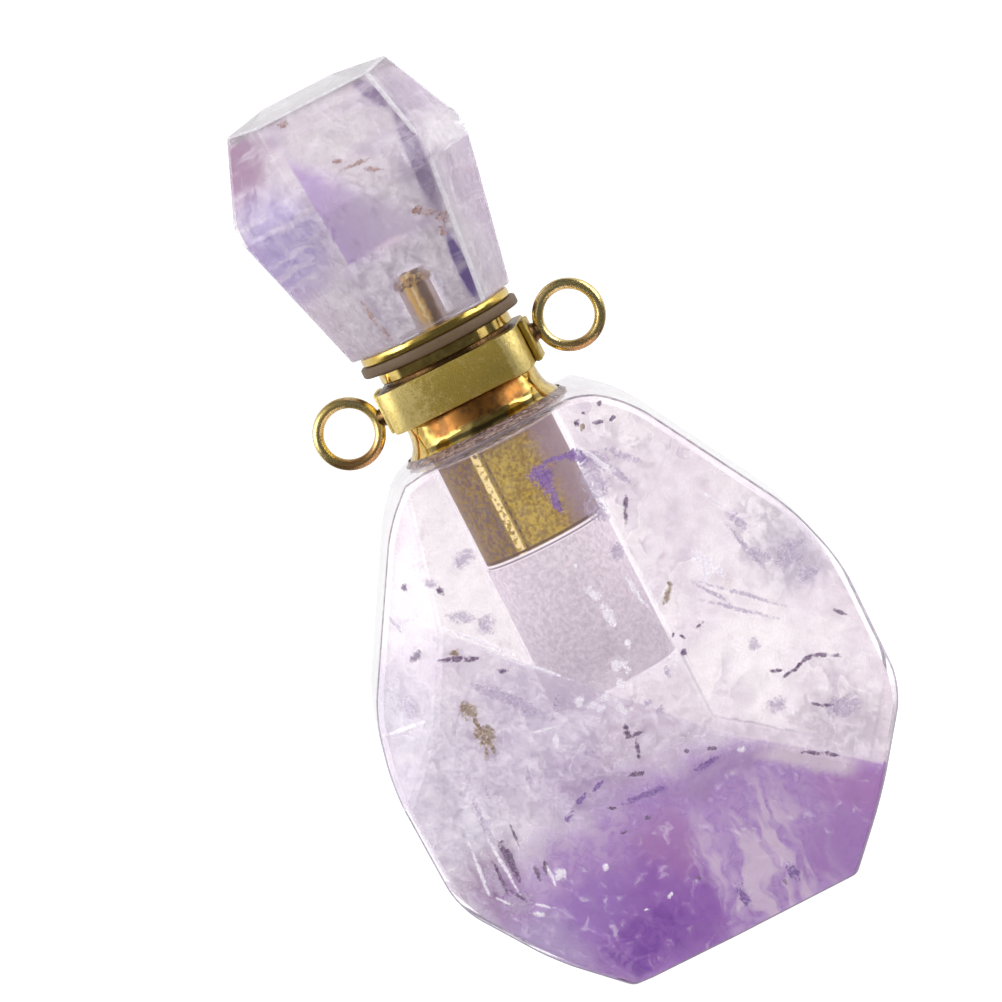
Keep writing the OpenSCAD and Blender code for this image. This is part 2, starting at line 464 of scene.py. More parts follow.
def polished_quartz(name, tint):
    """Clear stone, polished, with a little haze where rubbing has dulled it."""
    paint = Paint(name)
    p = paint.place()
    ripple = paint.bump(paint.noise(p, 0.5, 2), 0.06, 0.2)
    glass = paint.principled(Base_Color=tint, Roughness=0.02, IOR=1.12, Transmission_Weight=1.0,
                             Coat_Weight=0.6, Coat_Roughness=0.03, Normal=ripple)
    haze_and_painted_edge = paint.noise(p, 2.2, 5, 0.7)
    haze = paint.principled(Base_Color=(0.86, 0.83, 0.88), Roughness=0.3)
    mixed = paint.mix(glass, haze, paint.ease(haze_and_painted_edge, 0.4, 0.8, 0.015, 0.1))
    return paint.show(paint.lets_lamps_through(mixed, (0.95, 0.93, 0.96)))


def bottle_cloud():
    q = Quartz("bottle_cloud")
    x, up, fine = q.x, q.up, q.fine
    # The ridge of the back's facets, as the eye sees it through the front: clear above, milky below
    ridge = (16.58 - (x + 5.94) * 1.06) | (6.91 - (x - 3.28) * 0.795)
    past = up - ridge
    over = past / q.ease(q.y, -1.0, 1.0, 0.1, 1.5)
    below = q.ease(over, 1.0, -1.0)
    q.colour = q.blend(tone(243, 237, 243), tone(231, 221, 233), q.ease(q.coarse, 0.38, 0.62))
    q.tint(tone(210, 200, 218), below * 0.85)
    q.tint(tone(196, 190, 208), q.spot(215, 800, 60, 140, soft=0.8) * 0.85)
    q.tint(tone(150, 124, 156), q.spot(222, 893, 46, 60) * 0.95)
    q.tint(tone(206, 203, 214), q.spot(190, 910, 20, 44, -20) * 0.8)
    q.tint(tone(196, 184, 208), q.spot(330, 780, 110, 110) * below * 0.9)
    q.tint(tone(170, 148, 186), q.spot(360, 835, 80, 48) * below * 0.9)
    q.tint(tone(196, 180, 202), q.spot(430, 820, 75, 60) * below * 0.9)
    q.tint(tone(196, 190, 206), q.spot(215, 690, 50, 80, -15))
    q.tint(tone(232, 230, 236), q.spot(262, 590, 60, 80, -30) * 0.8)
    q.tint(tone(226, 215, 228), q.spot(560, 610, 70, 90) * 0.7)
    q.tint(tone(206, 196, 213), q.spot(635, 730, 50, 60, 20) * 0.9)
    q.tint(tone(198, 186, 202), q.spot(605, 900, 60, 45, 35) * 0.9)
    q.tint(tone(250, 247, 250), q.spot(560, 800, 55, 45, soft=0.7) * 0.8)
    # The greyer column under the bore, with its thin outline
    column = (2.87 - x) | (0.75 - past + (fine - 0.5) * 0.4)
    above = q.ease(past, 0.0, 0.1) * q.ease(up, 11.6, 10.6) * q.ease(x, -1.5, 0.0)
    q.tint(tone(214, 203, 217), q.ease(column, 0.0, 0.25) * above * 0.85)
    q.tint(tone(176, 166, 184), q.ease(column.size(), 0.09, 0.02) * above * q.ease(x, 7.0, 5.0) * 0.7)
    q.veils(0.22, 7.0, q.ease(x, -1.0, 4.0, 0.25, 0.8))
    q.cracks(0.45, 0.008, q.ease(up, 3.5, 7.0, 0.15, 0.55))
    # The violet foot of the stone
    slope = ((x + 3.0) * -1.0 | 0.0) * 0.28
    violet = q.ease(up + slope - 6.6 + (fine - 0.5) * 3.4 + (q.coarse - 0.5) * 2.5, 1.6, -1.2) * below
    violet = violet * q.ease(x, -9.0, -5.0, 0.6, 1.0)
    q.tint(q.blend(tone(160, 122, 190), tone(186, 156, 206), q.ease(fine, 0.35, 0.65)), violet)
    q.tint(tone(146, 98, 178), q.spot(370, 985, 95, 85) * q.ease(x + (fine - 0.5) * 0.6, 0.1, -0.4) * 0.95)
    q.tint(tone(128, 82, 168), q.spot(330, 1005, 70, 40) * q.ease(fine, 0.35, 0.6))
    q.tint(tone(150, 112, 186), q.spot(300, 950, 60, 45) * 0.75)
    q.tint(tone(172, 128, 190), q.spot(585, 965, 60, 36, 38) * violet)
    q.tint(tone(174, 156, 200), q.spot(243, 962, 38, 56, -38) * 0.7)
    q.tint(tone(166, 120, 180), q.spot(398, 930, 40, 44) * 0.7)
    q.tint(tone(208, 192, 212), q.ease(past + (fine - 0.5), -1.3, -0.6) * q.spot(550, 918, 80, 56) * below)
    q.tint(tone(162, 132, 182), q.spot(470, 888, 70, 22) * violet * 0.8)
    q.tint(tone(164, 124, 190), q.spot(545, 1010, 75, 45) * violet * 0.8)
    wisps = q.noise(q.drawn_out((1.2, 1.0, 0.28)), 1.0, 3, 0.6)
    q.tint(tone(214, 196, 220), q.ease(wisps, 0.44, 0.60) * q.spot(470, 985, 85, 110) * 0.85)
    # Mottle and shards all over
    q.tint(q.times(q.colour, (0.80, 0.76, 0.86)), q.ease(fine, 0.54, 0.72) * (0.35 + violet * 0.25))
    q.tint(tone(240, 236, 242), q.ease(fine, 0.42, 0.30) * 0.3)
    shards = q.ease(fine + (q.noise(q.p, 3.0, 2, 0.6) - 0.5) * 0.4, 0.44, 0.52)
    q.tint(tone(190, 182, 198), q.spot(626, 712, 50, 66, -12, 0.4) * shards * 0.75)
    q.tint(tone(196, 186, 200), q.spot(606, 896, 56, 44, 30, 0.4) * shards * 0.6)
    q.tint(tone(200, 190, 204), q.spot(520, 560, 44, 50, -40, 0.4) * shards * 0.6)
    # A painted highlight on the facet beside the tube, and the dark lens under the neck's foot: a painted
    # reflection of the foot, with painted glints
    beside = q.ease(x + 4.18 + (21.64 - up) * 0.237, 0.0, 0.12) * q.ease(x, -2.7, -2.8)
    beside = beside * q.ease(over, -0.2, 0.2)
    q.tint(tone(242, 238, 243), beside * q.ease(up, 21.6, 21.3) * 0.8)
    foot = q.spot(425, 487, 92, 11, soft=0.35, loose=False) * q.ease(q.y, 0.0, -1.0)
    q.tint(q.blend(tone(172, 146, 134), tone(118, 92, 100), q.ease(fine, 0.38, 0.6)), foot * 0.95)
    q.tint(tone(250, 246, 248), foot * q.ease(q.noise(q.p, 3.2, 2, 0.6), 0.58, 0.64))
    # Clearer in front of the bore, most of all in front of the tube
    window = q.ease((x - 0.1).size(), 2.9, 2.6) * q.ease(over, -0.5, 0.4)
    tube = window * q.ease(up, 16.9, 17.2)
    window = window * q.ease(up, 9.6, 12.4)
    density = (q.ease(fine, 0.25, 0.7, 0.45, 0.95) + violet * 0.3) * (1 - window * 0.84) * (1 - tube * 0.7)
    return q.cloud(density * q.ease(q.y, 2.0, -2.0, 0.55, 1.0) | foot * 0.9)


def stopper_cloud():
    q = Quartz("stopper_cloud", 0.6)
    x, up, fine = q.x, q.up, q.fine
    q.colour = q.blend(tone(212, 202, 214), tone(194, 180, 202), q.ease(q.coarse, 0.38, 0.62))
    ridge = q.ease(x + 2.3 + (up - 35.0) * 0.06, 0.0, 0.12)
    blush = q.spot(318, 134, 50, 46)
    q.tint(tone(166, 134, 164), blush)
    q.tint(tone(170, 150, 200), q.spot(322, 222, 64, 76) * (1 - ridge))
    q.tint(tone(160, 148, 200), q.spot(328, 225, 40, 50) * (1 - ridge) * 0.6)
    q.tint(tone(220, 214, 218), q.spot(420, 150, 60, 30) * 0.7)
    # The violet block in the middle, under a slanting roof
    roof = up - 35.6 + (x + 1.97) * 1.15 + (fine - 0.5) * 0.9
    block = ridge * q.ease(roof, 0.7, -0.7) * q.ease(up + (fine - 0.5) * 0.3, 30.7, 31.2)
    violet = q.blend(tone(184, 154, 210), tone(212, 194, 222), q.ease(x + (fine - 0.5), -2.2, 1.0))
    q.tint(violet, block * 0.95)
    # A painted highlight: a pale pink line under the violet block
    q.tint(tone(244, 222, 244), q.spot(415, 271, 26, 6) * 0.8)
    q.tint(tone(228, 224, 230), q.spot(512, 190, 34, 24, -50) * 0.9)
    q.tint(tone(186, 166, 190), q.spot(515, 265, 26, 70, -10) * 0.9)
    # The grey band and the violet strip beside the right edge
    band = (q.spot(480, 205, 13, 90, 5, 0.5, False) | q.spot(468, 128, 10, 34, -24, 0.5, False)) * 0.9
    strip = q.spot(471, 322, 9, 52, 3, 0.5, False)
    q.tint(q.blend(tone(132, 112, 152), tone(164, 148, 178), q.ease(fine, 0.4, 0.6)), band)
    q.tint(tone(116, 90, 166), strip * 0.9)
    # The table on top, darker: painted shade
    q.tint(tone(164, 154, 164), q.ease(up, 37.4, 37.7))
    q.cracks(0.6, 0.010, 0.3)
    streaks = q.noise(q.drawn_out((0.4, 1.0, 2.2), 0.5), 1.0, 3, 0.6)
    q.tint(tone(226, 216, 232), q.ease(streaks, 0.5, 0.66) * (1 - block) * 0.6)
    q.tint(q.times(q.colour, (0.82, 0.76, 0.88)), q.ease(fine, 0.54, 0.72) * 0.35)
    density = q.ease(fine, 0.25, 0.7, 0.45, 0.9) * (1 - q.spot(421, 332, 24, 44) * 0.93)
    density = density | band | strip | block * 0.8 | blush * 0.9
    return q.cloud(density * q.ease(q.y, 2.0, -2.0, 0.5, 1.0), 0.2)


def quartz_edge(name, colour, share, low=None):
    """An edge between two faces, painted: pale for a painted highlight on a ridge, dark for a line of painted
    shade at a rim; of another colour low down.
    """
    paint = Paint(name)
    p = paint.place()
    grain = paint.noise(p, 4.0, 3)
    if low:
        colour = paint.blend(low, colour, paint.ease(paint.axes(p)[2], 9.0, 17.0))
    glass = paint.principled(Base_Color=(0.94, 0.92, 0.95), Roughness=0.1, IOR=1.22, Transmission_Weight=1.0)
    haze_and_painted_edge = paint.principled(Base_Color=colour, Roughness=0.35)
    mixed = paint.mix(glass, haze_and_painted_edge, paint.ease(grain, 0.2, 0.8, share * 0.6, share))
    return paint.show(paint.lets_lamps_through(mixed, (0.93, 0.9, 0.95)))


def drilled_quartz():
    """The frosted wall that the drill left; it glows a little, painted light that brightens it."""
    paint = Paint("drilled_quartz")
    p = paint.place()
    grain = paint.noise(p, 5.0, 3, 0.7)
    colour = paint.blend(tone(196, 186, 194), tone(232, 224, 229), paint.ease(grain, 0.3, 0.7))
    frosted = paint.principled(Base_Color=colour, Roughness=0.7, Specular_IOR_Level=0.2,
                               Emission_Color=colour, Emission_Strength=0.5,
                               Normal=paint.bump(grain, 0.3, 0.1))
    return paint.show(paint.lets_lamps_through(frosted, (0.85, 0.82, 0.88)))


def clear_glue(name="clear_glue", most=0.08):
    paint = Paint(name)
    film = paint.noise(paint.place(), 2.0, 3)
    dull = paint.principled(Base_Color=(0.62, 0.55, 0.6), Roughness=0.5)
    return paint.show(paint.mix(paint.clear((0.98, 0.97, 0.98)), dull, paint.ease(film, 0.5, 0.8, 0.0, most)))


def gold(name, pale, deep, rough, mottle=0.8, grain=0.06, painted_light=0.0, painted_outline_shade_and_low_brown=0.0):
    """Plated brass: pale and deep in patches of tarnish, brown low down; painted light makes it paler at the
    left, with a painted highlight strip at the right, and painted shade darkens its outline.
    """
    paint = Paint(name)
    p = paint.place()
    x, _, z = paint.axes(p)
    # Painted light: paler at the left and in a painted highlight strip near x = 2.4 mm, darker between
    wear_and_painted_light = (paint.ease(x, -3.0, -0.5) - paint.ease((x - 2.4).size(), 0.5, 0.3) - 0.5) * painted_light
    patch = paint.noise(p, mottle, 4, 0.6)
    fine = paint.noise(p, 11.0, 4, 0.7)
    paint.colour = paint.blend(pale, deep, paint.ease(patch * 0.5 + fine * 0.5 + wear_and_painted_light, 0.36, 0.62))
    if painted_outline_shade_and_low_brown:
        # Painted shade: darker brown where the surface turns away from the eye, at the outline
        turned_away = paint.add("ShaderNodeLayerWeight", {}, {"Blend": 0.5}, "Facing")
        paint.tint((0.24, 0.12, 0.04), paint.ease(turned_away, 0.5, 0.9) * painted_outline_shade_and_low_brown)
        paint.tint((0.50, 0.26, 0.10), paint.ease(z + (patch - 0.5), 24.4, 23.9) * painted_outline_shade_and_low_brown)
    roughness = paint.ease(patch + fine * 0.5, 0.5, 1.0, rough, rough + 0.14)
    return paint.show(paint.principled(Base_Color=paint.colour, Metallic=1.0, Roughness=roughness,
                                       Normal=paint.bump(fine, grain, 0.1)))


def stained_gold():
    """The tube in the stone: satin brass behind brown glue."""
    paint = Paint("stained_gold")
    p = paint.place()
    x, _, z = paint.axes(p)
    dots = paint.noise(p, 5.5, 4, 0.7)
    stain_and_painted_shade = paint.noise(p, 4.5, 3, 0.7)
    left = paint.ease(x, -1.16, -1.26) * paint.ease(dots + stain_and_painted_shade * 0.5, 0.70, 0.80, 1.0, 0.15)
    right = paint.ease(x + (stain_and_painted_shade - 0.5) * 1.6, 0.9, 2.0, 0.0, 0.8)
    top = paint.ease(z + (stain_and_painted_shade - 0.5) * 0.8, 21.6, 22.2, 0.0, 0.6)
    brown = left | right | top
    # A painted highlight: a bright strip down the tube, broken by the glue
    painted_highlight_stripe = paint.ease((x + 1.02).size(), 0.18, 0.12) * paint.ease(stain_and_painted_shade, 0.62, 0.5)
    seam = paint.ease((x + 0.72).size(), 0.09, 0.04) * paint.ease(dots, 0.56, 0.46)
    paint.colour = paint.blend((0.50, 0.37, 0.05), (0.25, 0.16, 0.03), paint.ease(dots, 0.38, 0.62))
    paint.tint(paint.blend((0.22, 0.13, 0.11), (0.09, 0.05, 0.05), dots), brown)
    paint.tint((0.42, 0.33, 0.39), right * 0.6)
    paint.tint((0.95, 0.82, 0.36), painted_highlight_stripe)
    # The lower end: a dark line, a painted highlight along the rim, and a grey line
    paint.tint((0.12, 0.07, 0.04), seam | paint.ease((z - 17.62).size(), 0.07, 0.03))
    paint.tint((0.95, 0.93, 0.92), paint.ease(z, 17.55, 17.51))
    paint.tint((0.3, 0.26, 0.28), paint.ease((z - 17.4).size(), 0.05, 0.02))
    metal = paint.ease(brown, 0.0, 1.0, 0.8, 0.3)
    # It glows a little: painted light
    return paint.show(paint.principled(Base_Color=paint.colour, Metallic=metal, Roughness=0.45,
                                       Emission_Color=paint.colour, Emission_Strength=0.3,
                                       Normal=paint.bump(dots, 0.3, 0.05)))


def rubber():
    paint = Paint("taupe_rubber")
    grain = paint.noise(paint.place(), 7.0, 4, 0.6)
    colour = paint.blend((0.13, 0.08, 0.04), (0.20, 0.125, 0.068), grain)
    return paint.show(paint.principled(Base_Color=colour, Roughness=0.55,
                                       Normal=paint.bump(grain, 0.2, 0.04)))


def stone_copy(node, name):
    """A copy of a CAD stone, merged into whole faces, to be finished."""
    stone = own_copy(cad_nodes[node])
    stone.parent = None
    for key in list(stone.keys()):
        if key.startswith("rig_"):
            del stone[key]
    settle(stone, name)
    edit_all()
    bpy.ops.mesh.remove_doubles(threshold=1e-6)
    bpy.ops.mesh.dissolve_limited(angle_limit=math.radians(0.4))
    done()
    bpy.ops.mesh.customdata_custom_splitnormals_clear()
    bpy.ops.object.shade_flat()
    return stone


def bend(face, other):
    """The angle between two faces, in radians."""
    return face.normal.angle(other.normal)


def edges_between(obj, test):
    """The edges whose two faces, and whose ends, pass test."""
    mesh, faces = obj.data, {}
    for face in mesh.polygons:
        for key in face.edge_keys:
            faces.setdefault(key, []).append(face)
    v = mesh.vertices
    return {key for key, n in faces.items()
            if len(n) == 2 and test(n[0], n[1], v[key[0]].co / MM, v[key[1]].co / MM)}


def round_edges(obj, test, width, segments=3, material=-1, clamp=True):
    found = edges_between(obj, test)
    pick(obj, "EDGE", lambda e: e.key in found)
    bpy.ops.mesh.bevel(offset=width * MM, segments=segments, profile=0.5, affect="EDGES", clamp_overlap=clamp,
                       material=material)
    done()


def cloud_inside(stone, name, middle, shrink, hole, widen):
    """A smaller copy of the stone inside it, with its drilled hole, of radius hole, made wider."""
    inner = own_copy(stone)
    settle(inner, name)
    drilled = [(v.co / MM).xy.length < hole and v.co.z > 1 * MM for v in inner.data.vertices]
    edit_all()
    bpy.ops.transform.resize(value=shrink, center_override=Vector(middle) * MM)
    pick(inner, "VERT", lambda v: drilled[v.index])
    bpy.ops.transform.resize(value=(widen, widen, 1), center_override=(0, 0, 0))
    done()
    bpy.ops.object.shade_flat()
    return inner


def bottle():
    stone = stone_copy("bottle_stone", "bottle_stone_cut")
    dress(stone, (polished_quartz("bottle_quartz", (0.95, 0.92, 0.95)), drilled_quartz(), clear_glue(),
                  quartz_edge("painted_shade_edge", tone(122, 112, 126), 0.9, tone(182, 172, 190)),
                  quartz_edge("painted_highlight_edge", tone(244, 241, 247), 0.5)))
    frosted, glued, painted_shade_edge, painted_highlight_edge = 1, 2, 3, 4
    bore, bore_top, bore_edge = 2.75, 22.55, 2.9
    wall = lambda face: abs(face.normal.y) < 0.3
    away = lambda a, b: min(a.xy.length, b.xy.length) > bore_edge
    between = lambda low, a, high: low < a.z < high
    corner = lambda low, high: lambda f, g, a, b: (wall(f) and wall(g) and bend(f, g) > 0.1 and away(a, b)
                                                   and between(low, a, high) and between(low, b, high))
    round_edges(stone, corner(20, 30), 0.9, 6, clamp=False)
    round_edges(stone, corner(1.5, 20), 1.6, 6)
    round_edges(stone, corner(-1, 1.5), 0.2, 3)
    cloud = cloud_inside(stone, "bottle_cloud_body", (0, 0, 1), (0.97, 0.95, 0.985), 2.8, 1.06)
    # The rim's bevel: a dark line of painted shade along the front's outline, paler low down
    rim = lambda f, g, a, b: wall(f) != wall(g) and bend(f, g) > 0.1 and away(a, b)
    round_edges(stone, rim, 0.08, 3, painted_shade_edge, False)
    # The ridges' bevels: thin painted highlights
    ridge = lambda f, g, a, b: (not wall(f) and not wall(g) and bend(f, g) > 0.05 and away(a, b)
                                and painted_shade_edge not in (f.material_index, g.material_index))
    round_edges(stone, ridge, 0.07, 3, painted_highlight_edge)
    pick(stone, "FACE", lambda f: (f.center / MM).xy.length < bore and abs(f.normal.z) < 0.5)
    bpy.ops.mesh.bisect(plane_co=(0, 0, TUBE_END * MM), plane_no=(0, 0, 1))
    done()

    def bore_finish(c, face):
        if c.xy.length < bore and 1 < c.z < bore_top:
            return frosted if c.z < TUBE_END else glued
        return face.material_index

    finish_faces(stone, bore_finish)
    smooth_weighted(stone, 100)
    finish_piece(cloud, (bottle_cloud(), clear_glue("clear_wall", 0.0)), "bottle", "bottle_stone")
    finish_faces(cloud, lambda c, face: int(c.xy.length < 3.2 and 1 < c.z < 22.2))
    return finish_piece(stone, None, "bottle", "bottle_stone", "bottle_stone")


def stopper():
    stone = stone_copy("stopper_stone", "stopper_stone_cut")
    dress(stone, (polished_quartz("stopper_quartz", (0.94, 0.91, 0.95)), clear_glue("stopper_glue"),
                  quartz_edge("stopper_highlight_edge", tone(244, 240, 246), 0.8)))
    glued, painted_highlight_edge = 1, 2
    girdle_foot, table = 28.5, 37
    away = lambda a, b: min(a.xy.length, b.xy.length) > 1.0
    cloud = cloud_inside(stone, "stopper_cloud_body", (-0.25, 0, 32), (0.965, 0.965, 0.98), 0.85, 1.3)
    standing = lambda a, b: abs(a.z - b.z) > 1.5
    girdle = lambda f, g, a, b: (bend(f, g) > 0.1 and not standing(a, b)
                                 and girdle_foot < a.z < table and girdle_foot < b.z < table)
    bright = lambda a, b: standing(a, b) and min(a.x, b.x) > 0.5 and max(a.y, b.y) < 0
    for body in (stone, cloud):
        round_edges(body, girdle, 0.7, 6)
    # Painted highlights on the upright edges at the front right
    front_edge = lambda f, g, a, b: bend(f, g) > 0.08 and away(a, b) and bright(a, b)
    round_edges(stone, front_edge, 0.14, 3, painted_highlight_edge)
    side_edge = lambda f, g, a, b: (bend(f, g) > 0.2 and away(a, b) and standing(a, b) and not bright(a, b)
                                    and painted_highlight_edge not in (f.material_index, g.material_index))
    round_edges(stone, side_edge, 0.15, 4)
    # A painted highlight round the table's rim
    table_rim = lambda f, g, a, b: bend(f, g) > 0.4 and min(a.z, b.z) > table
    round_edges(stone, table_rim, 0.09, 3, painted_highlight_edge)
    foot_rim = lambda f, g, a, b: bend(f, g) > 0.4 and away(a, b) and max(a.z, b.z) < 28
    round_edges(stone, foot_rim, 0.2, 4)
    socket = lambda c: c.xy.length < 0.85 and 27.49 < c.z < 30.2
    finish_faces(stone, lambda c, face: glued if socket(c) else face.material_index)
    smooth_weighted(stone, 100)
    smooth_weighted(cloud, 80)
    finish_piece(cloud, (stopper_cloud(), clear_glue("clear_socket", 0.0)), "cap", "stopper_stone")
    finish_faces(cloud, lambda c, face: int(c.xy.length < 1.2 and 27.8 < c.z < 30.4))
    rust = flaw("stopper_rust", 0.1, 1.1, 0.75, tone(196, 166, 160), tone(130, 98, 90))
    flaws("stopper_marks", STOPPER_MARKS, rust, stone, "cap", "stopper_stone", back=0)
    return finish_piece(stone, None, "cap", "stopper_stone", "stopper_stone")


def flaw(name, low, high, strength, pale, dark, rough=0.5):
    """A mark inside the stone, for the flaws and for the painted glints: dense at its heart, torn at its rim.
    It glows a little: painted light.
    """
    paint = Paint(name)
    p = paint.place()
    heart = paint.add("ShaderNodeAttribute", {"attribute_name": "heart"}, {}, "Fac")
    grain = paint.noise(p, 9.0, 4, 0.7, 0.8)
    torn = paint.noise(p, 3.2, 3, 0.7, 1.5)
    share = paint.ease(heart + (torn - 0.5) * 3.0 + (grain - 0.5) * 1.5, low, high, 0.0, strength)
    colour = paint.blend(pale, dark, paint.ease(grain, 0.4, 0.6))
    body = paint.principled(Base_Color=colour, Roughness=rough, Specular_IOR_Level=0.2,
                            Emission_Color=colour, Emission_Strength=0.35)
    return paint.show(paint.lets_lamps_through(paint.mix(paint.clear(), body, share), (1, 1, 1)))


def seat_under(stone, px, py, depth):
    """A place under the front's skin, as the eye sees that pixel, and where the face there looks."""
    across, height = spot_at(px, py)
    facing, rear = None, -6
    for _ in range(2):
        level = height - rear * math.tan(CAMERA_TILT)
        hit, place, facing, _ = stone.ray_cast(Vector((across, -30, level)) * MM, Vector((0, 1, 0)))
        if not hit or facing.y > -0.3:
            return None
        rear = place.y / MM
    return place - facing * depth * MM, facing


def inside(stone, point):
    hit, place, _, _ = stone.ray_cast(Vector((point.x, -30 * MM, point.z)), Vector((0, 1, 0)))
    return hit and place.y < point.y - 0.01 * MM


def lens(place, facing, along, beside, long, wide, ragged):
    """One flaw: a flat ball, its rim torn by a cloud pattern. Its heart is 1 in the middle, 0 at the rim."""
    deselect()
    bpy.ops.mesh.primitive_uv_sphere_add(segments=20, ring_count=9, radius=1,
                                         rotation=(0, math.pi / 2, 0))
    ball = bpy.context.object
    bpy.ops.object.transform_apply(location=False, rotation=True, scale=False)
    heart = ball.data.attributes.new("heart", "FLOAT", "POINT")
    heart.data.foreach_set("value", [1 - v.co.x ** 2 - v.co.z ** 2 for v in ball.data.vertices])
    turn = Matrix((along, -facing, beside)).transposed().to_4x4()
    half_long, half_thick, half_wide = long * GRID * 0.66, 0.02, (wide * 0.6 + 0.5) * GRID
    size = Matrix.Diagonal((half_long * MM, half_thick * MM, half_wide * MM, 1))
    ball.matrix_world = Matrix.Translation(place) @ turn @ size
    settle(ball, "lens")
    rag = min(0.3, 0.04 + wide * 0.012) * MM
    for direction in "XZ":
        modify(ball, "DISPLACE", texture=ragged, texture_coords="GLOBAL", direction=direction,
               strength=rag, mid_level=0.5)
    return ball


def flaws(name, marks, material, stone, body, slot, back=3, seed=0):
    """Thin torn lenses just inside the stone's front. Where back is given, the marks whose number it divides
    are repeated at the stone's back. A mark is its place, length and width on the photograph's upright grid,
    and its turn in degrees."""
    ragged = bpy.data.textures.new(name, "CLOUDS")
    ragged.noise_scale = 0.25 * MM
    made = []
    for number, (px, py, long, wide, turn) in enumerate(marks):
        seat = seat_under(stone, px, py, FLAW_DEPTH * (1 + 0.4 * math.sin(number * 2.4 + seed)))
        if not seat:
            continue
        place, facing = seat
        along = Vector((math.cos(math.radians(turn)), 0, math.sin(math.radians(turn))))
        along = (along - facing * along.dot(facing)).normalized()
        beside = along.cross(-facing)
        reach = ((long * 0.7 * GRID + 0.02) * MM, (wide * 0.8 * GRID + 0.02) * MM)
        # A flaw that would stick out of the stone is seated deeper, and left out if that doesn't help
        for _ in range(4):
            sound = all(inside(stone, place + along * reach[0] * i + beside * reach[1] * j)
                        for i in (-1, 1) for j in (-1, 1))
            if sound:
                break
            place = place - facing * FLAW_DEPTH * 0.5 * MM
        if not sound:
            continue
        made.append(lens(place, facing, along, beside, long, wide, ragged))
        if back and number % back == 0:
            made.append(lens(place, facing, along, beside, long, wide, ragged))
            made[-1].data.transform(Matrix.Rotation(math.pi, 4, "Z"))
    piece = join(name, *made)
    take(piece)
    bpy.ops.object.shade_smooth()
    return finish_piece(piece, (material,), body, slot)


# The flaws' marks, as flaws() takes them
DARK = [(254, 647, 15, 9, 10), (270, 659, 20, 3, -24), (290, 668, 30, 5, -20), (303, 675, 14, 4, -15),
        (275, 581, 8, 8, 0), (307, 600, 7, 9, 0), (325, 699, 10, 5, -30), (205, 870, 44, 3, 82),
        (246, 872, 44, 8, 89), (229, 882, 36, 3, 86), (262, 850, 20, 2, 85), (275, 893, 14, 5, 70),
        (237, 906, 20, 3, -60), (265, 894, 15, 4, 85), (407, 810, 15, 7, 78), (415, 815, 12, 4, -8),
        (409, 829, 17, 4, 70), (397, 851, 15, 5, -18), (360, 870, 9, 3, -25), (387, 894, 5, 5, 0),
        (359, 897, 8, 3, 5), (405, 971, 5, 5, 0), (494, 764, 6, 6, 0), (499, 750, 7, 3, -50),
        (492, 744, 6, 2, 30), (520, 747, 9, 2, 15), (566, 822, 13, 3, -24), (576, 830, 14, 3, 10),
        (588, 828, 13, 3, 22), (600, 825, 13, 4, 4), (613, 829, 15, 4, -22), (626, 836, 11, 3, -30),
        (650, 800, 16, 3, -50), (587, 870, 9, 3, -40), (597, 876, 12, 3, -20), (560, 911, 18, 3, -34),
        (576, 920, 16, 3, -40), (451, 853, 5, 4, 0), (474, 862, 9, 4, -20), (480, 1014, 5, 5, 0),
        (503, 513, 7, 5, 20), (512, 508, 5, 3, 0), (531, 506, 6, 5, 0), (522, 522, 11, 4, -10),
        (536, 525, 7, 4, 30), (510, 605, 12, 5, 60), (503, 618, 16, 4, 66)]
BROWN = [(291, 662, 9, 8, -20), (278, 719, 15, 19, 0), (279, 734, 6, 12, 0), (281, 748, 18, 22, 10),
         (274, 765, 12, 5, 60), (282, 764, 10, 4, 80), (506, 704, 22, 6, 48), (505, 520, 8, 4, 60)]
MAUVE = [(302, 590, 12, 9, -20), (312, 632, 26, 12, -30), (332, 650, 16, 20, -50), (301, 804, 17, 6, 76),
         (257, 799, 15, 5, 80), (357, 752, 16, 7, 60), (470, 774, 11, 5, 85), (439, 792, 8, 6, 0),
         (447, 804, 10, 6, 50), (559, 789, 12, 13, 0), (552, 852, 20, 15, 0), (600, 672, 30, 10, -65),
         (627, 694, 36, 24, -20), (632, 726, 34, 28, 20), (640, 750, 24, 16, 0), (606, 712, 22, 9, -50),
         (480, 645, 16, 14, 60), (240, 820, 8, 50, 0), (222, 882, 14, 36, 8), (232, 915, 30, 26, 0),
         (500, 556, 34, 24, -30), (528, 562, 36, 8, -46), (517, 580, 28, 8, -62), (490, 575, 24, 40, 0),
         (570, 738, 80, 4, -42), (560, 750, 70, 4, -40), (545, 724, 40, 4, -55), (596, 700, 5, 70, 15),
         (610, 885, 34, 22, 0), (480, 600, 18, 26, 20), (341, 582, 22, 15, 0), (225, 690, 14, 26, -20),
         (250, 610, 26, 4, -60), (312, 720, 60, 14, -48), (330, 745, 50, 10, -48)]
VIOLET = [(448, 542, 26, 20, 0), (449, 556, 22, 16, 70), (448, 574, 10, 22, 6), (470, 536, 30, 6, -12),
          (488, 544, 22, 14, -40), (357, 844, 17, 4, 15), (337, 848, 13, 5, 20), (317, 859, 15, 5, 25),
          (395, 873, 48, 7, -4), (463, 873, 30, 6, 6), (437, 1005, 9, 30, 0), (490, 1008, 12, 20, 10)]
